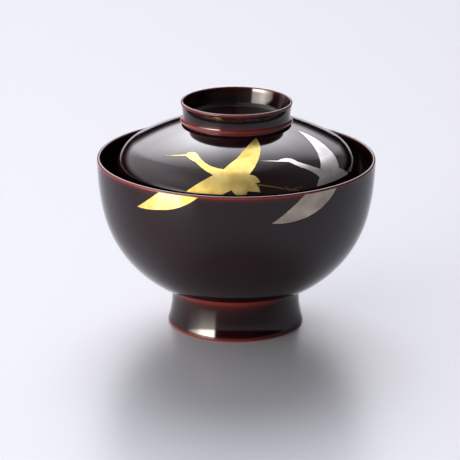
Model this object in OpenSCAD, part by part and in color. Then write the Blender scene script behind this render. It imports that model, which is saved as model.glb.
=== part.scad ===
// Lidded rice bowl in lacquered wood, with two flying cranes laid on in gold and silver.
// Lengths are in millimetres. The origin is the centre of the foot's ring, on the table, +Z up.

/* [Bowl] */
// Outside diameter at the rim
bowl_d = 121; // [95:1:150]
// Height of the rim above the table
bowl_h = 75.6; // [60:0.2:95]
// Thickness of the rim
rim_t = 1.6; // [1.2:0.1:3]
// Height of the upright lip at the rim
lip_h = 1.5; // [1:0.1:4]
// Radius of the upper wall, in bowl heights
wall_round = 1.415; // [1:0.005:2.5]
// Angle the upper wall has turned through when the belly starts, degrees
wall_turn = 11.5; // [6:0.5:18]
// Radius of the belly, in bowl heights
belly_round = 0.664; // [0.5:0.002:0.8]
// Angle of the wall when the belly gives way to the hip, degrees
belly_turn = 56; // [48:0.5:64]
// Radius of the hip, where the belly turns under
hip_r = 5; // [2:0.1:9]
// How upright the inside wall starts, as its radius over the inside depth
hollow_round = 0.874; // [0.8:0.002:0.92]
// Wood left between the inside of the bowl and the hollow of the foot
floor_t = 8.5; // [4:0.5:14]

/* [Foot] */
// Outside diameter of the foot on the table
foot_d = 59.8; // [44:0.2:70]
// How far the foot's waist is drawn in from its edge on the table
foot_waist_in = 1.8; // [0.8:0.1:4]
// How far the foot flares out from its waist to the underside of the belly
foot_flare_out = 4.4; // [1.5:0.1:6]
// Height of the waist above the table
foot_waist_z = 12.8; // [6:0.1:15]
// Thickness of the foot's ring on the table
foot_ring_t = 2.6; // [2.2:0.1:5]
// Rounding of the ring's two bottom edges
foot_edge_round = 0.7; // [0.3:0.05:1]
// Depth of the hollow under the foot
foot_hollow_z = 13.9; // [6:0.1:16]
// How far that hollow draws in towards its top
foot_hollow_draw = 2; // [0:0.1:4]
// Radius of the corner in that hollow
foot_corner = 2.5; // [1:0.1:4]

/* [Lid] */
// Distance from the bowl's outside to the lid's widest line
lid_inset = 8.4; // [7:0.1:12]
// Distance of the lid's widest line below the bowl's rim
lid_drop = 2.9; // [1:0.1:6]
// Radius of the lid's shoulder
shoulder_r = 3.5; // [2:0.1:6]
// Angle the shoulder turns through, degrees
shoulder_turn = 20.5; // [12:0.5:35]
// Radius of the lid's crown, above the shoulder
crown_r = 15.2; // [10:0.2:24]
// Angle at which the crown gives way to the dome, degrees
crown_turn = 62; // [54:0.5:68]
// Radius of the lid's dome
dome_r = 117; // [80:1:200]
// Thickness of the lid's lower edge
mouth_t = 1.8; // [1.2:0.1:3]
// How far the skirt draws in from the widest line down to its lower edge
skirt_draw = 0.9; // [0.3:0.1:2]
// Thickness of the lid at its middle, under the knob
lid_top_t = 4.3; // [2.5:0.1:6]
// Radius of the corner inside the lid
lid_corner_r = 14; // [8:0.5:17]
// How far that corner starts below the lid's widest line, as a share of its radius
lid_corner_drop = 0.47; // [0:0.01:0.8]
// Gap between the lid's lower edge and the bowl's inside wall
seat_gap = 0.2; // [0.1:0.05:0.5]

/* [Knob] */
// Outside diameter of the knob's ring at its top
knob_d = 48.3; // [36:0.1:58]
// Height of the knob's ring above the ledge at its base
knob_h = 8.7; // [5:0.1:14]
// How far the knob's waist is drawn in from its ring
knob_waist_in = 0.9; // [0.4:0.05:3]
// Height of the waist above the ledge
knob_waist_h = 1.9; // [1:0.1:4]
// How far the ledge at the knob's base stands out from its waist
knob_ledge_out = 1.15; // [0.6:0.05:3]
// Height of the groove between the ledge and the dome
knob_groove_h = 1.1; // [0.6:0.1:2]
// Depth of that groove
knob_groove_in = 0.8; // [0.4:0.1:2]
// Thickness of the knob's ring at its top
knob_t = 1.3; // [1:0.1:3]
// How far the inside of the ring draws in down to the floor's corner
knob_draw = 1.5; // [0.5:0.1:3]
// Radius of the corner between the ring and the floor inside it
knob_corner_r = 2; // [1:0.1:4]
// Height of the floor inside the ring above the ledge
knob_floor_h = 0.6; // [0.2:0.1:3]

/* [Gold and silver] */
// Thickness of the raised gold and silver
leaf_t = 0.12; // [0.08:0.01:0.4]
// Direction the gold crane faces, degrees from the front
gold_face = -5; // [-40:1:40]
// Direction the silver crane faces, degrees from the front
silver_face = 48; // [20:1:80]
// Slope of the plane the cranes are drawn on, degrees above level
crane_tilt = 40; // [25:1:60]
// Direction the gold wing tip faces, degrees from the front
gold_tip_face = -28; // [-60:1:20]
// Direction the silver wing tip faces, degrees from the front
silver_tip_face = 30; // [0:1:70]
// Width of the cranes' legs
leg_w = 0.55; // [0.4:0.05:1]

/* [Hidden] */
$fn = 96;
sky = 400;              // larger than the bowl in any direction
knob_bead = 0.2;        // rounding of the knob's ledge
leaf_lift = 0.01;       // film of lacquer between the surface and the metal on it
bow_steps = 6;          // straight steps along one drawn curve
leaf_gap = 0.5;         // the pictures on the lid stop this far from the knob

bowl_r = bowl_d / 2;
lip_z = bowl_h - lip_h;

// ---- small helpers
function on_arc(c, r, a) = [c[0] + r * cos(a), c[1] + r * sin(a)];
// Radius of the hollow curve that leaves a waist upright and reaches (across, along) from it
function flare(across, along) = (across * across + along * along) / (2 * across);
// A drawn curve from p to q, bulging by b to its left, without its last point
function bow(p, q, b) = let (d = q - p, n = [-d[1], d[0]] / norm(d))
    [for (i = [0 : bow_steps - 1]) let (t = i / bow_steps) p + d * t + n * (4 * b * t * (1 - t))];
function line(p) = [p];
function reversed(list) = [for (i = [len(list) - 1 : -1 : 0]) list[i]];

module at(p) { translate([p[0], p[1], 0]) children(); }

// The part of a disc between two angles less than a right angle apart
module sector(c, r, a0, a1) {
    intersection() {
        at(c) circle(r);
        polygon([c, on_arc(c, 2 * r, a0), on_arc(c, 3 * r, (a0 + a1) / 2), on_arc(c, 2 * r, a1)]);
    }
}

// Keeps the side of a profile that is turned: right of the axis
module turned() {
    rotate_extrude() intersection() { children(); translate([0, -sky]) square([sky, 2 * sky]); }
}

// ---- bowl, outside
wall_r = wall_round * bowl_h;
belly_r = belly_round * bowl_h;
wall_c = [bowl_r - wall_r, lip_z];
wall_end = on_arc(wall_c, wall_r, -wall_turn);
belly_c = on_arc(wall_end, -belly_r, -wall_turn);
belly_end = on_arc(belly_c, belly_r, -belly_turn);
hip_c = on_arc(belly_end, -hip_r, -belly_turn);
under_z = hip_c[1] - hip_r;
rim_r = rim_t / 2;

module bowl_outside() {
    polygon([[0, under_z], [hip_c[0], under_z], belly_end, wall_end, [bowl_r, lip_z],
             [bowl_r, bowl_h - rim_r], [0, bowl_h - rim_r]]);
    sector(wall_c, wall_r, -wall_turn, 0);
    sector(belly_c, belly_r, -belly_turn, -wall_turn);
    sector(hip_c, hip_r, -90, -belly_turn);
}

// ---- foot
foot_r = foot_d / 2;
foot_waist_r = foot_r - foot_waist_in;
foot_top_r = foot_waist_r + foot_flare_out;
foot_flare_r = flare(foot_flare_out, under_z - foot_waist_z);
foot_sweep_r = flare(foot_waist_in, foot_waist_z - foot_edge_round);
foot_hollow_r = foot_r - foot_ring_t;
foot_bury = 1;          // the foot runs this far up into the belly

module foot_outside() {
    difference() {
        translate([0, foot_waist_z]) square([foot_top_r, under_z - foot_waist_z]);
        at([foot_waist_r + foot_flare_r, foot_waist_z]) circle(foot_flare_r);
    }
    difference() {
        translate([0, foot_edge_round]) square([foot_r, foot_waist_z - foot_edge_round]);
        at([foot_waist_r + foot_sweep_r, foot_waist_z]) circle(foot_sweep_r);
    }
    at([foot_r - foot_edge_round, foot_edge_round]) circle(foot_edge_round);
    at([foot_hollow_r + foot_edge_round, foot_edge_round]) circle(foot_edge_round);
    translate([foot_hollow_r + foot_edge_round, 0])
        square([foot_ring_t - 2 * foot_edge_round, 2 * foot_edge_round]);
    translate([0, foot_waist_z]) square([foot_waist_r, under_z - foot_waist_z + foot_bury]);
}

module foot_hollow() {
    polygon([[0, 0], [foot_hollow_r, 0], [foot_hollow_r, foot_edge_round],
             [foot_hollow_r - foot_hollow_draw, foot_hollow_z - foot_corner],
             [foot_hollow_r - foot_hollow_draw - foot_corner, foot_hollow_z], [0, foot_hollow_z]]);
    at([foot_hollow_r - foot_hollow_draw - foot_corner, foot_hollow_z - foot_corner])
        circle(foot_corner);
}

// ---- bowl, inside
bowl_in_r = bowl_r - rim_t;
hollow_z = lip_z;
hollow_floor_z = foot_hollow_z + floor_t;
hollow_h = hollow_z - hollow_floor_z;
hollow_r = hollow_round * hollow_h;
hollow_c = [bowl_in_r - hollow_r, hollow_z];
hollow_big_r = (hollow_c[0] * hollow_c[0] + hollow_h * hollow_h - hollow_r * hollow_r)
    / (2 * (hollow_h - hollow_r));
hollow_big_c = [0, hollow_floor_z + hollow_big_r];
hollow_turn = atan((hollow_big_c[1] - hollow_c[1]) / hollow_c[0]);
hollow_join = on_arc(hollow_c, hollow_r, -hollow_turn);

module bowl_inside() {
    translate([0, hollow_z]) square([bowl_in_r, sky]);
    sector(hollow_c, hollow_r, -hollow_turn, 0);
    polygon([[0, hollow_join[1]], hollow_join, [bowl_in_r, hollow_z], [0, hollow_z]]);
    sector(hollow_big_c, hollow_big_r, -90, -hollow_turn);
}

module bowl() {
    color("#2a1315") turned() {
        difference() {
            union() {
                bowl_outside();
                foot_outside();
            }
            bowl_inside();
            foot_hollow();
        }
        at([bowl_r - rim_r, bowl_h - rim_r]) circle(rim_r);
    }
}

// ---- lid, outside
lid_r = bowl_r - lid_inset;
lid_z = bowl_h - lid_drop;
shoulder_c = [lid_r - shoulder_r, lid_z];
crown_c = on_arc(shoulder_c, shoulder_r - crown_r, shoulder_turn);
dome_c = on_arc(crown_c, crown_r - dome_r, crown_turn);
dome_top_turn = acos(-dome_c[0] / dome_r);
function dome_z(r) = dome_c[1] + sqrt(pow(dome_r, 2) - pow(r - dome_c[0], 2));

// ---- lid, lower edge: a round bead held off the bowl's inside wall by the seat gap
mouth_r = mouth_t / 2;
mouth_x = lid_r - skirt_draw - mouth_r;
mouth_z = hollow_c[1] - sqrt(pow(hollow_r - mouth_r - seat_gap, 2) - pow(mouth_x - hollow_c[0], 2));

module lid_outside() {
    polygon([[0, mouth_z], [mouth_x + mouth_r, mouth_z], [lid_r, lid_z],
             on_arc(shoulder_c, shoulder_r, shoulder_turn),
             on_arc(crown_c, crown_r, crown_turn), [0, dome_z(0)]]);
    sector(shoulder_c, shoulder_r, 0, shoulder_turn);
    sector(crown_c, crown_r, shoulder_turn, crown_turn);
    sector(dome_c, dome_r, crown_turn, dome_top_turn);
}

// ---- knob
knob_r = knob_d / 2;
knob_waist_r = knob_r - knob_waist_in;
knob_ledge_r = knob_waist_r + knob_ledge_out - knob_bead;
knob_ledge_z = dome_z(knob_waist_r + knob_ledge_out) + knob_groove_h;
knob_waist_z = knob_ledge_z + knob_waist_h;
knob_rim_r = knob_t / 2;
knob_top_z = knob_ledge_z + knob_h;
knob_rim_z = knob_top_z - knob_rim_r;
knob_flare_r = flare(knob_ledge_r - knob_waist_r, knob_waist_h - knob_bead);
knob_sweep_r = flare(knob_waist_in, knob_rim_z - knob_waist_z);
knob_floor_z = knob_ledge_z + knob_floor_h;
knob_in_r = knob_r - knob_t;
leaf_top_turn = acos((knob_r + leaf_gap - dome_c[0]) / dome_r);

module knob_outside() {
    difference() {
        translate([0, knob_ledge_z]) square([knob_ledge_r, knob_waist_h]);
        at([knob_waist_r + knob_flare_r, knob_waist_z]) circle(knob_flare_r);
    }
    difference() {
        translate([0, knob_waist_z]) square([knob_r, knob_rim_z - knob_waist_z]);
        at([knob_waist_r + knob_sweep_r, knob_waist_z]) circle(knob_sweep_r);
    }
    at([knob_ledge_r, knob_ledge_z + knob_bead]) circle(knob_bead);
    translate([0, dome_z(0) - lid_top_t]) square([knob_ledge_r - knob_groove_in, lid_top_t]);
}

module knob_inside() {
    translate([0, knob_rim_z]) square([knob_in_r, sky]);
    polygon([[0, knob_floor_z], [knob_in_r - knob_draw - knob_corner_r, knob_floor_z],
             [knob_in_r - knob_draw, knob_floor_z + knob_corner_r], [knob_in_r, knob_rim_z],
             [0, knob_rim_z]]);
    at([knob_in_r - knob_draw - knob_corner_r, knob_floor_z + knob_corner_r])
        circle(knob_corner_r);
}

// ---- lid, inside
lid_in_top_z = knob_floor_z - lid_top_t;
lid_in_r = mouth_x - mouth_r;
lid_corner_c = [lid_in_r - lid_corner_r, lid_z - lid_corner_r * lid_corner_drop];
lid_in_h = lid_in_top_z - lid_corner_c[1];
lid_big_r = (pow(lid_corner_c[0], 2) + pow(lid_in_h, 2) - pow(lid_corner_r, 2))
    / (2 * (lid_in_h - lid_corner_r));
lid_big_c = [0, lid_in_top_z - lid_big_r];
lid_corner_turn = atan((lid_corner_c[1] - lid_big_c[1]) / lid_corner_c[0]);
lid_join = on_arc(lid_corner_c, lid_corner_r, lid_corner_turn);

module lid_inside() {
    translate([0, mouth_z - sky]) square([lid_in_r, sky]);
    polygon([[0, mouth_z - mouth_r], [lid_in_r, mouth_z - mouth_r],
             [lid_in_r, lid_corner_c[1]], lid_join, [0, lid_join[1]]]);
    sector(lid_corner_c, lid_corner_r, 0, lid_corner_turn);
    intersection() {
        at(lid_big_c) circle(lid_big_r);
        translate([0, lid_join[1]]) square([lid_join[0], sky]);
    }
}

module lid() {
    color("#2a1315") turned() {
        difference() {
            union() {
                lid_outside();
                knob_outside();
            }
            lid_inside();
            knob_inside();
        }
        at([mouth_x, mouth_z]) circle(mouth_r);
        at([knob_r - knob_rim_r, knob_rim_z]) circle(knob_rim_r);
    }
}

// ---- gold and silver: thin shells that lie on the lacquer, cut to a drawn outline
leaf_half = 60;           // degrees to each side that a picture may reach
drawn_r = 60.5;           // rim radius that the outlines on the bowl are written for
drawn_lid_r = 52.1;       // radius of the lid that the outlines on it are written for
bowl_art = bowl_r / drawn_r;
lid_art = lid_r / drawn_lid_r;

// A prism standing on a drawing plane that faces one way and leans back by tilt from upright,
// its middle at height z
module drawn(face, tilt, z) {
    translate([0, 0, z]) rotate([90 - tilt, 0, face]) linear_extrude(bowl_d) children();
}

module leaf_turned(face) {
    rotate([0, 0, face - 90 - leaf_half]) rotate_extrude(angle = 2 * leaf_half) children();
}

// The skin of a disc between two angles
module skin(c, r, a0, a1) {
    difference() {
        sector(c, r + leaf_t, a0, a1);
        at(c) circle(r);
    }
}

// A drawn outline laid on the lid, over its dome and its crown, down to the top of its shoulder
module laid_on_lid(face) {
    intersection() {
        leaf_turned(face) skin(dome_c, dome_r, crown_turn, leaf_top_turn);
        drawn(face, crane_tilt, lid_z) children();
    }
    intersection() {
        leaf_turned(face) skin(crown_c, crown_r, shoulder_turn, crown_turn);
        drawn(face, crane_tilt, lid_z) children();
    }
}

// A drawn outline laid on the bowl, over its upper wall and its lip
module laid_on_bowl(face) {
    intersection() {
        leaf_turned(face) {
            skin(wall_c, wall_r + leaf_lift, -wall_turn, 0);
            translate([bowl_r + leaf_lift, lip_z]) square([leaf_t, lip_h - rim_r]);
        }
        drawn(face, 0, bowl_h) children();
    }
}

// Gold crane: points across and up its drawing plane, from the middle of the lid's widest line
gold_beak = [-28, -11.7];
gold_brow = [-18.2, -12];
gold_crown = [-16.2, -10.7];
gold_nape = [-12.8, -13.3];
gold_shoulder = [-1.5, -20.8];
gold_wing_mid = [3.6, -14.3];
gold_wing_tip = [10.3, -1.2];
gold_wing_out = [12.8, -9.2];
gold_wing_root = [9.3, -22.9];
gold_tail_1 = [14, -26.1];
gold_tail_notch_1 = [12.2, -26.8];
gold_tail_2 = [14.2, -30.3];
gold_tail_notch_2 = [9, -30.5];
gold_tail_3 = [6.5, -32.9];
gold_tail_notch_3 = [2.4, -30.5];
gold_low_wing_back = [-1.9, -32.7];
gold_low_wing_end = [-9, -38.7];
gold_low_wing_front = [-27, -37.1];
gold_armpit = [-5.5, -23.9];
gold_throat = [-13.6, -16.7];
gold_chin = [-18.2, -12.7];

module gold_crane_outline() {
    polygon(lid_art * reversed(concat(
        line(gold_beak), bow(gold_brow, gold_crown, 0.5), bow(gold_crown, gold_nape, 0.7),
        bow(gold_nape, gold_shoulder, -1.7), bow(gold_shoulder, gold_wing_mid, 0.1),
        bow(gold_wing_mid, gold_wing_tip, 0.2), bow(gold_wing_tip, gold_wing_out, 0.6),
        bow(gold_wing_out, gold_wing_root, 0.9), bow(gold_wing_root, gold_tail_1, 0.9),
        line(gold_tail_1), bow(gold_tail_notch_1, gold_tail_2, 0.3), line(gold_tail_2),
        bow(gold_tail_notch_2, gold_tail_3, 0.6), bow(gold_tail_3, gold_tail_notch_3, 0.5),
        line(gold_tail_notch_3), line(gold_low_wing_back), line(gold_low_wing_end),
        line(gold_low_wing_front),
        bow(gold_armpit, gold_throat, 0.6), bow(gold_throat, gold_chin, 0.3), line(gold_chin))));
}

module gold_crane() {
    color("#d8b455") laid_on_lid(gold_face) gold_crane_outline();
}

// One straight stroke from p to q, w wide
module stroke(p, q, w) {
    d = q - p;
    n = [-d[1], d[0]] / norm(d) * w / 2;
    polygon(lid_art * [p - n, q - n / 2, q + n / 2, p + n]);
}

gold_leg_top = [13.2, -27.3];
gold_leg_foot = [26.6, -27.3];
gold_toe_1 = [31.2, -24.5];
gold_toe_2 = [30.4, -26.3];
gold_toe_3 = [24, -26.1];

module gold_legs() {
    color("#a8873c") laid_on_lid(gold_face) {
        stroke(gold_leg_top, gold_leg_foot, leg_w);
        stroke(gold_leg_foot - [leg_w, 0], gold_toe_1, leg_w);
        stroke(gold_leg_foot - [leg_w, 0], gold_toe_2, leg_w);
        stroke(gold_leg_foot, gold_toe_3, leg_w);
    }
}

// Gold wing tip on the bowl: points across and up from the rim's middle
gold_tip_front = [-2.6, 0.4];
gold_tip_point = [-15.8, -9.4];
gold_tip_low = [-4, -8.4];
gold_tip_back = [14.8, 0.4];

module gold_wing_tip() {
    color("#e2c063") laid_on_bowl(gold_tip_face)
        polygon(bowl_art * concat(
            bow(gold_tip_back, gold_tip_front, 0), bow(gold_tip_front, gold_tip_point, 0.15),
            bow(gold_tip_point, gold_tip_low, -0.4), bow(gold_tip_low, gold_tip_back, -1.8)));
}

// Silver crane, measured like the gold one
silver_beak = [-22.4, -12];
silver_brow = [-15.7, -15.2];
silver_crown = [-11.2, -15.7];
silver_nape = [-8.6, -18.7];
silver_shoulder = [-0.9, -25.7];
silver_wing_front = [4, -20.1];
silver_wing_tip = [10.8, -3.7];
silver_wing_out = [14.9, -13.3];
silver_wing_root = [10.6, -27.8];
silver_tail = [17.4, -32.1];
silver_tail_low = [12, -37.7];
silver_low_wing_end = [-11, -38.7];
silver_low_wing_front = [-7.6, -32.7];
silver_armpit = [-3.8, -28.9];
silver_throat = [-9.2, -22.4];
silver_chin = [-12, -17.7];
silver_gape = [-16, -15.7];

module silver_crane_outline() {
    polygon(lid_art * reversed(concat(
        line(silver_beak), bow(silver_brow, silver_crown, 0.3), bow(silver_crown, silver_nape, 0.6),
        bow(silver_nape, silver_shoulder, -0.5), bow(silver_shoulder, silver_wing_front, -0.2),
        bow(silver_wing_front, silver_wing_tip, -1.1), bow(silver_wing_tip, silver_wing_out, 0.8),
        bow(silver_wing_out, silver_wing_root, 1), bow(silver_wing_root, silver_tail, 0.6),
        line(silver_tail), line(silver_tail_low), line(silver_low_wing_end), line(silver_low_wing_front),
        bow(silver_armpit, silver_throat, -0.3), bow(silver_throat, silver_chin, 0.2), line(silver_chin),
        line(silver_gape))));
}

module silver_crane() {
    color("#c3c2c6") laid_on_lid(silver_face) silver_crane_outline();
}

silver_leg_top = [17, -31.5];
silver_leg_foot = [27, -25.2];
silver_toe_1 = [29.5, -21.2];
silver_toe_2 = [30, -23.1];

module silver_legs() {
    color("#8f8d90") laid_on_lid(silver_face) {
        stroke(silver_leg_top, silver_leg_foot, leg_w);
        stroke(silver_leg_foot - [leg_w, leg_w], silver_toe_1, leg_w);
        stroke(silver_leg_foot - [leg_w, leg_w], silver_toe_2, leg_w);
    }
}

// Silver wing tip on the bowl, measured like the gold one
silver_tip_front = [-1, 0.4];
silver_tip_point = [-16.4, -11.9];
silver_tip_low = [-4.5, -11.6];
silver_tip_back = [15, 0.4];

module silver_wing_tip() {
    color("#b8b0a6") laid_on_bowl(silver_tip_face)
        polygon(bowl_art * concat(
            bow(silver_tip_back, silver_tip_front, 0), bow(silver_tip_front, silver_tip_point, 0.3),
            bow(silver_tip_point, silver_tip_low, -0.5), bow(silver_tip_low, silver_tip_back, -2.4)));
}

bowl();
lid();
gold_crane();
gold_legs();
gold_wing_tip();
silver_crane();
silver_legs();
silver_wing_tip();
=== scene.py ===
import math

import bmesh
import bpy
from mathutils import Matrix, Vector


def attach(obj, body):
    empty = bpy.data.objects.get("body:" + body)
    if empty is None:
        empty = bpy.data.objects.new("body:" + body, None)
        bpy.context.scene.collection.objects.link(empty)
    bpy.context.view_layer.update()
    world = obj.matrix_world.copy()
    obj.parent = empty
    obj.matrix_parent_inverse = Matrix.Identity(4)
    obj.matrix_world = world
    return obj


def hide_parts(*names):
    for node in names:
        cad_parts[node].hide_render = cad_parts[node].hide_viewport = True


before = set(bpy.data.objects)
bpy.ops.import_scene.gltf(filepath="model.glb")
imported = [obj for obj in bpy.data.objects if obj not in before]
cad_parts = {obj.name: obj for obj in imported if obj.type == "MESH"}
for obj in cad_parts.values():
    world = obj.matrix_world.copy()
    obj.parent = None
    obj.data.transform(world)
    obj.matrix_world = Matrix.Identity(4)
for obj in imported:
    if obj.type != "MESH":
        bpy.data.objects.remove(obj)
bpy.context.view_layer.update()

MM = 0.001


def add(tree, kind, sockets=None, **settings):
    """Adds one node. Each socket's value is a number, a colour, or another node's output."""
    made = tree.nodes.new("ShaderNode" + kind)
    for name, value in settings.items():
        setattr(made, name, value)
    for name, value in (sockets or {}).items():
        if isinstance(value, bpy.types.NodeSocket):
            tree.links.new(value, made.inputs[name])
        else:
            made.inputs[name].default_value = value
    return made


def colour(code):
    """Turns an sRGB hex colour such as "a0522d" into the linear colour that a shader takes."""
    parts = [int(code[i : i + 2], 16) / 255 for i in (0, 2, 4)]
    return [c / 12.92 if c <= 0.04045 else ((c + 0.055) / 1.055) ** 2.4 for c in parts] + [1.0]


# ---------------------------------------------------------------- camera

camera = bpy.data.objects.new("camera", bpy.data.cameras.new("camera"))
bpy.context.scene.collection.objects.link(camera)
camera.data.sensor_width = 36.0
camera.data.lens = 169.5
camera.data.clip_end = 20.0
camera.location = (-0.0026, -0.903, 0.3436)
camera.rotation_euler = (math.pi / 2 - 0.323, 0.0, 0.0)
camera.rotation_euler.rotate_axis("Z", 0.0045)
bpy.context.scene.camera = camera
bpy.context.scene.view_settings.view_transform = "Standard"


# ---------------------------------------------------------------- turned shapes

AROUND = 192  # steps round the turning axis
FINEST = 2.5  # degrees of bend to one step on a curve of the outline
LONGEST = 1.6  # millimetres to one step along the outline
SMALL = 3.0  # millimetres: a rounding tighter than this is drawn in coarser steps
COARSEST = 12  # degrees of bend to one step on such a rounding
CREASE = 35  # degrees between two faces from which their edge is drawn sharp


class Outline:
    """Half the section of a turned piece, drawn from point to point in millimetres:
    first number out from the axis, second number up."""

    def __init__(self, point):
        self.bm = bmesh.new()
        self.tip = self.bm.verts.new((point[0], 0, point[1]))

    def to(self, point):
        steps = max(1, round(math.dist((self.tip.co.x, self.tip.co.z), point) / LONGEST))
        start = self.tip.co.copy()
        for i in range(1, steps + 1):
            spot = start.lerp(Vector((point[0], 0, point[1])), i / steps)
            following = self.bm.verts.new(spot)
            self.bm.edges.new((self.tip, following))
            self.tip = following

    def swing(self, centre, degrees):
        """Carries the tip round a centre, anticlockwise if degrees is more than nothing."""
        reach = math.dist((self.tip.co.x, self.tip.co.z), centre)
        length = abs(math.radians(degrees)) * reach
        steps = max(3, round(abs(degrees) / FINEST), round(length / LONGEST))
        if reach < SMALL:
            steps = max(4, round(abs(degrees) / COARSEST))
        swung = bmesh.ops.spin(
            self.bm, geom=[self.tip], cent=(centre[0], 0, centre[1]), axis=(0, -1, 0),
            dvec=(0, 0, 0), angle=math.radians(degrees), steps=steps, use_merge=False,
        )
        self.tip = [v for v in swung["geom_last"] if isinstance(v, bmesh.types.BMVert)][0]

    def turn(self, name, thin_and_glow_spots):
        """Turns the outline on the lathe into a closed piece, in metres. Each spot has its place in
        the section, how wide and how tall it is, and how strongly the red ground shows there: where
        the lacquer wears thin, and where a red glow of light is painted on."""
        bm = self.bm
        bmesh.ops.spin(
            bm, geom=bm.verts[:] + bm.edges[:], cent=(0, 0, 0), axis=(0, 0, 1), dvec=(0, 0, 0),
            angle=2 * math.pi, steps=AROUND, use_merge=True,
        )
        bmesh.ops.remove_doubles(bm, verts=bm.verts, dist=0.0005)
        bmesh.ops.recalc_face_normals(bm, faces=bm.faces)
        for face in bm.faces:
            face.smooth = True
        for edge in bm.edges:
            edge.smooth = edge.calc_face_angle(0) < math.radians(CREASE)
        layer = bm.verts.layers.float.new("thin_lacquer_and_painted_glow")
        for v in bm.verts:
            r, z = math.hypot(v.co.x, v.co.y), v.co.z
            v[layer] = max(
                amount * math.exp(-(((r - spot[0]) / wide) ** 2) - ((z - spot[1]) / tall) ** 2)
                for spot, wide, tall, amount in thin_and_glow_spots
            )
        bmesh.ops.scale(bm, vec=(MM, MM, MM), verts=bm.verts)
        mesh = bpy.data.meshes.new(name)
        bm.to_mesh(mesh)
        bm.free()
        piece = bpy.data.objects.new(name, mesh)
        bpy.context.scene.collection.objects.link(piece)
        return piece


def on_circle(centre, radius, degrees):
    turn = math.radians(degrees)
    return (centre[0] + radius * math.cos(turn), centre[1] + radius * math.sin(turn))


def flare_radius(across, along):
    """Radius of the hollow curve that leaves a waist upright and reaches across and along."""
    return (across**2 + along**2) / (2 * across)


# The bowl's sizes in millimetres, as the turner cuts them
rim_r = 60.5
rim_z = 75.6
rim_wall = 1.6
lip = 1.5
bead = rim_wall / 2
wall_r, belly_r, hip_r = 1.415 * rim_z, 0.664 * rim_z, 5.0
wall_turn, belly_turn = 11.5, 56.0
lip_z = rim_z - lip
wall_c = (rim_r - wall_r, lip_z)
belly_c = on_circle(on_circle(wall_c, wall_r, -wall_turn), -belly_r, -wall_turn)
hip_c = on_circle(on_circle(belly_c, belly_r, -belly_turn), -hip_r, -belly_turn)
under_z = hip_c[1] - hip_r
flare_top_r = 32.5
waist_r, waist_z = 28.1, 12.8
foot_r, foot_round, foot_ring = 29.9, 0.7, 2.6
flare_r = flare_radius(flare_top_r - waist_r, under_z - waist_z)
sweep_r = flare_radius(foot_r - waist_r, waist_z - foot_round)
recess_z, recess_r = 13.9, foot_r - foot_ring
recess_draw, recess_corner = 2.0, 2.5
floor_t = 8.5
hollow_r_in = rim_r - rim_wall
floor_z = recess_z + floor_t
hollow_h = lip_z - floor_z
hollow_r = 0.874 * hollow_h
hollow_c = (hollow_r_in - hollow_r, lip_z)
big_r = (hollow_c[0] ** 2 + hollow_h**2 - hollow_r**2) / (2 * (hollow_h - hollow_r))
big_c = (0, floor_z + big_r)
hollow_turn = math.degrees(math.atan((big_c[1] - lip_z) / hollow_c[0]))


def turned_bowl():
    draw = Outline((0, floor_z))
    draw.swing(big_c, 90 - hollow_turn)
    draw.swing(hollow_c, hollow_turn)
    draw.to((hollow_r_in, rim_z - bead))
    draw.swing((rim_r - bead, rim_z - bead), -180)
    draw.to((rim_r, lip_z))
    draw.swing(wall_c, -wall_turn)
    draw.swing(belly_c, wall_turn - belly_turn)
    draw.swing(hip_c, belly_turn - 90)
    draw.to((flare_top_r, under_z))
    draw.swing((waist_r + flare_r, waist_z), math.degrees(math.asin((under_z - waist_z) / flare_r)))
    sweep_end = math.degrees(math.asin((waist_z - foot_round) / sweep_r))
    draw.swing((waist_r + sweep_r, waist_z), sweep_end)
    draw.to((foot_r, foot_round))
    draw.swing((foot_r - foot_round, foot_round), -90)
    draw.to((recess_r + foot_round, 0))
    draw.swing((recess_r + foot_round, foot_round), -90)
    draw.to((recess_r - recess_draw, recess_z - recess_corner))
    draw.swing((recess_r - recess_draw - recess_corner, recess_z - recess_corner), 90)
    draw.to((0, recess_z))
    # where the lacquer is rubbed thin: the lip and the foot's lower edge; on the foot's hollow flare
    # the red is a painted glow of the floor's light
    thin_and_glow = [
        ((rim_r, rim_z - 0.7), 2.0, 0.7, 0.9),
        # painted glow: red on the hollow flare under the belly stands in for floor light in the coat
        ((waist_r, waist_z + 6.4), 5.0, 4.0, 1.1),
        ((foot_r, 0.4), 1.6, 0.8, 0.9),
    ]
    return draw.turn("lacquered_bowl", thin_and_glow)


# The lid's sizes in millimetres
lid_inset, lid_drop = 8.4, 2.9
lid_r, lid_z = rim_r - lid_inset, rim_z - lid_drop
shoulder_r, crown_r, dome_r = 3.5, 15.2, 117.0
shoulder_turn, crown_turn = 20.5, 62.0
shoulder_c = (lid_r - shoulder_r, lid_z)
crown_c = on_circle(shoulder_c, shoulder_r - crown_r, shoulder_turn)
dome_c = on_circle(crown_c, crown_r - dome_r, crown_turn)
skirt_draw, mouth_bead, seat_gap = 0.9, 0.9, 0.2
mouth_c_r = lid_r - skirt_draw - mouth_bead
mouth_reach = hollow_r - mouth_bead - seat_gap
mouth_z = lip_z - math.sqrt(mouth_reach**2 - (mouth_c_r - hollow_c[0]) ** 2)

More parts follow.
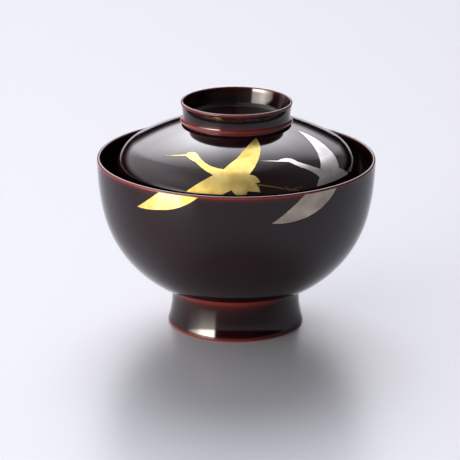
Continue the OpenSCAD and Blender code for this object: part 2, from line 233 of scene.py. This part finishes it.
# The knob's sizes in millimetres, its heights counted from its ledge
knob_r, knob_waist_r, knob_ledge_out_r = 24.15, 23.25, 24.4
knob_h, knob_waist_h, knob_floor_h = 8.7, 1.9, 0.6
knob_wall, knob_draw, knob_corner = 1.3, 1.5, 2.0
knob_corner_bend = 80
knob_groove_h, knob_groove_in = 1.1, 0.8
knob_ledge_bead = 0.2
knob_ledge_r = knob_ledge_out_r - knob_ledge_bead
knob_groove_r = knob_ledge_r - knob_groove_in
dome_under_ledge_z = dome_c[1] + math.sqrt(dome_r**2 - (knob_ledge_out_r - dome_c[0]) ** 2)
knob_ledge_z = dome_under_ledge_z + knob_groove_h
knob_waist_z = knob_ledge_z + knob_waist_h
knob_bead = knob_wall / 2
knob_rim_z = knob_ledge_z + knob_h - knob_bead
knob_flare_h = knob_waist_h - knob_ledge_bead
knob_flare_r = flare_radius(knob_ledge_r - knob_waist_r, knob_flare_h)
knob_sweep_r = flare_radius(knob_r - knob_waist_r, knob_rim_z - knob_waist_z)
knob_floor_z = knob_ledge_z + knob_floor_h
knob_in_r = knob_r - knob_wall

# The inside of the lid in millimetres
lid_top_t, lid_corner, lid_corner_drop = 4.3, 14.0, 0.47
lid_top_in = knob_floor_z - lid_top_t
lid_in_r = mouth_c_r - mouth_bead
lid_corner_c = (lid_in_r - lid_corner, lid_z - lid_corner * lid_corner_drop)
lid_in_h = lid_top_in - lid_corner_c[1]
lid_big_r = (lid_corner_c[0] ** 2 + lid_in_h**2 - lid_corner**2) / (2 * (lid_in_h - lid_corner))
lid_big_c = (0, lid_top_in - lid_big_r)
lid_in_turn = math.degrees(math.atan((lid_corner_c[1] - lid_big_c[1]) / lid_corner_c[0]))


def turned_lid():
    draw = Outline((0, knob_floor_z))
    corner = (knob_in_r - knob_draw - knob_corner, knob_floor_z + knob_corner)
    draw.to((corner[0], knob_floor_z))
    draw.swing(corner, knob_corner_bend)
    draw.to((knob_in_r, knob_rim_z))
    draw.swing((knob_r - knob_bead, knob_rim_z), -180)
    sweep_end = math.degrees(math.asin((knob_rim_z - knob_waist_z) / knob_sweep_r))
    draw.swing((knob_waist_r + knob_sweep_r, knob_waist_z), sweep_end)
    flare_c = (knob_waist_r + knob_flare_r, knob_waist_z)
    flare_end = math.degrees(math.asin(knob_flare_h / knob_flare_r))
    leaves = 2 * math.degrees(math.asin(knob_ledge_bead / 2 / knob_flare_r))
    draw.swing(flare_c, flare_end - leaves)
    bead_from = 180 + flare_end - leaves / 2 - 90
    draw.swing((knob_ledge_r, knob_ledge_z + knob_ledge_bead), -(bead_from + 90))
    draw.to((knob_groove_r, knob_ledge_z))
    dome_start = math.degrees(math.acos((knob_groove_r - dome_c[0]) / dome_r))
    draw.to(on_circle(dome_c, dome_r, dome_start))
    draw.swing(dome_c, crown_turn - dome_start)
    draw.swing(crown_c, shoulder_turn - crown_turn)
    draw.swing(shoulder_c, -shoulder_turn)
    draw.to((mouth_c_r + mouth_bead, mouth_z))
    draw.swing((mouth_c_r, mouth_z), -180)
    draw.to((lid_in_r, lid_corner_c[1]))
    draw.swing(lid_corner_c, lid_in_turn)
    draw.swing(lid_big_c, 90 - lid_in_turn)
    # where the lacquer is rubbed thin: the knob's lip and its ledge bead; on the hollow flare above
    # the bead the red is also a painted glow of the soft box's light
    thin_and_glow = [
        ((knob_r, knob_rim_z + 0.3), 1.4, 0.8, 0.75),
        # partly painted glow: red on the ledge bead where the lacquer wears thin, and painted
        # soft-box light on the hollow flare above it
        ((knob_ledge_r, knob_ledge_z + 0.9), 1.8, 1.3, 0.85),
    ]
    return draw.turn("lacquered_lid", thin_and_glow)


bowl = turned_bowl()
lid = turned_lid()


# ---------------------------------------------------------------- finishes


def material(name):
    made = bpy.data.materials.new(name)
    made.use_nodes = True
    made.node_tree.nodes.clear()
    return made, made.node_tree


def ends_in(tree, shader):
    add(tree, "OutputMaterial", {"Surface": shader.outputs[0]})


def clear_brown_lacquer(name):
    """Tame-nuri: clear brown lacquer flowed over a red ground, then polished to a mirror.
    Deep brown-black where it lies thick, and the red shows where edges are rubbed thin. On the
    hollow flares above the foot and above the knob's ledge the red is painted on as a glow of light."""
    made, tree = material(name)
    place = add(tree, "TexCoord").outputs["Object"]
    # the coat's depth drifts over about 25 mm, and the wiped cloth leaves turned streaks
    drift = add(tree, "TexNoise", {"Vector": place, "Scale": 40.0, "Detail": 3.0})
    turned = add(tree, "Mapping", {"Vector": place, "Scale": (1.0, 1.0, 30.0)})
    streaks = add(tree, "TexNoise", {"Vector": turned.outputs[0], "Scale": 60.0, "Detail": 4.0})
    body = add(
        tree, "MixRGB",
        {"Fac": drift.outputs["Fac"], "Color1": colour("140609"), "Color2": colour("1c090b")},
    )
    # how much red shows: lacquer worn thin at edges, and a painted glow of light on the hollow flares
    thin_and_glow = add(tree, "Attribute", attribute_name="thin_lacquer_and_painted_glow")
    uneven = add(
        tree, "MapRange", {"Value": streaks.outputs["Fac"], "To Min": 0.75, "To Max": 1.15}
    )
    showing = add(
        tree, "Math", {0: thin_and_glow.outputs["Fac"], 1: uneven.outputs[0]}, operation="MULTIPLY",
        use_clamp=True,
    )
    # the red ground through its amber coat, and the painted glow, from brown at first to a brick red
    glow = add(tree, "ValToRGB", {"Fac": showing.outputs[0]})
    ramp = glow.color_ramp
    ramp.elements[0].color = (0, 0, 0, 1)
    ramp.elements[1].color = colour("8a2a20")
    middle = ramp.elements.new(0.45)
    middle.color = colour("3c100c")
    base = add(
        tree, "MixRGB", {"Fac": 1.0, "Color1": body.outputs[0], "Color2": glow.outputs[0]},
        blend_type="ADD",
    )
    # polish marks too fine to see make the gloss a touch soft; a fingertip's haze drifts over it
    gloss = add(tree, "MapRange", {"Value": drift.outputs["Fac"], "To Min": 0.07, "To Max": 0.11})
    # the flowed coat keeps a faint swell about 12 mm long and 4 microns high
    swell = add(tree, "TexNoise", {"Vector": place, "Scale": 80.0, "Detail": 1.0})
    bump = add(
        tree, "Bump", {"Height": swell.outputs["Fac"], "Distance": 0.000004, "Strength": 0.6}
    )
    skin = add(
        tree, "BsdfPrincipled",
        {
            "Base Color": base.outputs[0], "Roughness": gloss.outputs[0], "IOR": 1.5,
            "Normal": bump.outputs[0],
        },
    )
    ends_in(tree, skin)
    return made


def sprinkled_metal(name, bright, deep, rough):
    """Maki-e: metal powder sprinkled into wet lacquer, sealed and burnished by hand.
    It gives a satin metal skin with a fine grain and a cloudy, uneven depth of colour."""
    made, tree = material(name)
    place = add(tree, "TexCoord").outputs["Object"]
    # clouds of thicker powder, about 5 mm across, and a grain drawn at 0.35 mm to show
    clouds = add(tree, "TexNoise", {"Vector": place, "Scale": 180.0, "Detail": 2.0})
    grain = add(tree, "TexNoise", {"Vector": place, "Scale": 2800.0, "Detail": 2.0})
    both = add(
        tree, "MixRGB",
        {"Fac": 0.2, "Color1": clouds.outputs["Fac"], "Color2": grain.outputs["Fac"]},
    )
    depth = add(
        tree, "MapRange", {"Value": both.outputs[0], "From Min": 0.3, "From Max": 0.68}
    )
    base = add(
        tree, "MixRGB",
        {"Fac": depth.outputs[0], "Color1": colour(deep), "Color2": colour(bright)},
    )
    dull = add(
        tree, "MapRange",
        {"Value": grain.outputs["Fac"], "To Min": rough - 0.06, "To Max": rough + 0.1},
    )
    bump = add(
        tree, "Bump", {"Height": grain.outputs["Fac"], "Distance": 0.00002, "Strength": 0.5}
    )
    skin = add(
        tree, "BsdfPrincipled",
        {
            "Base Color": base.outputs[0], "Metallic": 1.0, "Roughness": dull.outputs[0],
            "Normal": bump.outputs[0],
        },
    )
    ends_in(tree, skin)
    return made


lacquer = clear_brown_lacquer("clear_brown_lacquer_over_red")
gold = sprinkled_metal("sprinkled_gold", "eedb8c", "c8aa52", 0.46)
bright_gold = sprinkled_metal("sprinkled_bright_gold", "ffe9a0", "e2bf62", 0.45)
dark_gold = sprinkled_metal("sprinkled_dark_gold", "b8965c", "8a6833", 0.45)
silver = sprinkled_metal("sprinkled_silver", "e6e3e2", "bcb7b6", 0.42)
dark_silver = sprinkled_metal("sprinkled_dark_silver", "9a9696", "6a6464", 0.45)
warm_silver = sprinkled_metal("sprinkled_warm_silver", "d2c6b8", "a89c90", 0.5)

bowl.data.materials.append(lacquer)
lid.data.materials.append(lacquer)
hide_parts("bowl")
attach(bowl, "bowl")
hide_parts("lid")
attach(lid, "lid")

for node, finish in {
    "gold_crane": gold, "gold_legs": dark_gold, "gold_wing_tip": bright_gold,
    "silver_crane": silver, "silver_legs": dark_silver, "silver_wing_tip": warm_silver,
}.items():
    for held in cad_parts[node].material_slots:
        held.material = finish


# ---------------------------------------------------------------- floor and light


def floor():
    bm = bmesh.new()
    bmesh.ops.create_grid(bm, x_segments=1, y_segments=1, size=6.0)
    mesh = bpy.data.meshes.new("floor")
    bm.to_mesh(mesh)
    bm.free()
    made = bpy.data.objects.new("floor", mesh)
    bpy.context.scene.collection.objects.link(made)
    paint, tree = material("pale_satin_board")
    skin = add(
        tree, "BsdfPrincipled",
        {"Base Color": colour("adb0b5"), "Roughness": 0.34, "IOR": 1.45},
    )
    ends_in(tree, skin)
    mesh.materials.append(paint)


def studio():
    """A tall soft box behind and above the table, a dim pale wall to the left, a low bright
    window at the front left, dark elsewhere. Bearings run from straight back to the right."""
    world = bpy.data.worlds.new("studio")
    bpy.context.scene.world = world
    world.use_nodes = True
    tree = world.node_tree
    tree.nodes.clear()
    way = add(tree, "SeparateXYZ", {0: add(tree, "TexCoord").outputs["Generated"]})
    x, y, z = way.outputs
    # bearing and height above the table, in radians
    bearing = add(tree, "Math", {0: x, 1: y}, operation="ARCTAN2").outputs[0]
    height = add(tree, "Math", {0: z}, operation="ARCSINE").outputs[0]

    def ramp(value, low, high, stops):
        spread = add(
            tree, "MapRange",
            {"Value": value, "From Min": math.radians(low), "From Max": math.radians(high)},
        )
        made = add(tree, "ValToRGB", {"Fac": spread.outputs[0]})
        made.color_ramp.interpolation = "LINEAR"
        held = made.color_ramp.elements
        while len(held) < len(stops):
            held.new(0.5)
        for element, (degrees, level) in zip(held, stops):
            element.position = (degrees - low) / (high - low)
        for element, (degrees, level) in zip(held, stops):
            element.color = (level, level, level, 1)
        return made.outputs[0]

    def times(one, other):
        return add(tree, "Math", {0: one, 1: other}, operation="MULTIPLY").outputs[0]

    def plus(one, other):
        return add(tree, "Math", {0: one, 1: other}, operation="ADD").outputs[0]

    box_wide = ramp(bearing, -60, 60, [
        (-40, 0.04), (-33, 0.22), (-25, 0.6), (-15, 1.0), (0, 0.9), (15, 0.68), (24, 0.32), (34, 0.0),
    ])
    box_tall = ramp(height, 0, 90, [
        (12, 0.0), (16, 0.22), (27, 0.45), (45, 1.2), (53, 1.05), (60, 0.55), (66, 0.16), (76, 0.05),
    ])
    box = times(times(box_wide, box_tall), 9.9)
    wall_wide = ramp(bearing, -180, 180, [
        (-170, 0.1), (-125, 0.8), (-100, 1.3), (-50, 1.5), (-25, 1.0), (35, 0.35), (170, 0.1),
    ])
    wall_tall = ramp(height, 0, 90, [(8, 0.0), (16, 0.9), (40, 1.0), (65, 0.7), (88, 0.4)])
    low_wide = ramp(bearing, -160, -80, [
        (-146, 0.0), (-143, 1.0), (-122, 1.0), (-108, 0.35), (-90, 0.0),
    ])
    low_tall = ramp(height, -2, 30, [(-1, 0.0), (0, 1.0), (8, 1.0), (12, 0.25), (24, 0.0)])
    low = times(times(low_wide, low_tall), 30.0)
    high = plus(box, times(wall_wide, wall_tall))
    cool = add(tree, "Background", {"Color": colour("f7f5fc"), "Strength": high})
    warm = add(tree, "Background", {"Color": colour("fff4e8"), "Strength": low})
    both = add(tree, "AddShader", {0: cool.outputs[0], 1: warm.outputs[0]})
    add(tree, "OutputWorld", {"Surface": both.outputs[0]})


floor()
studio()
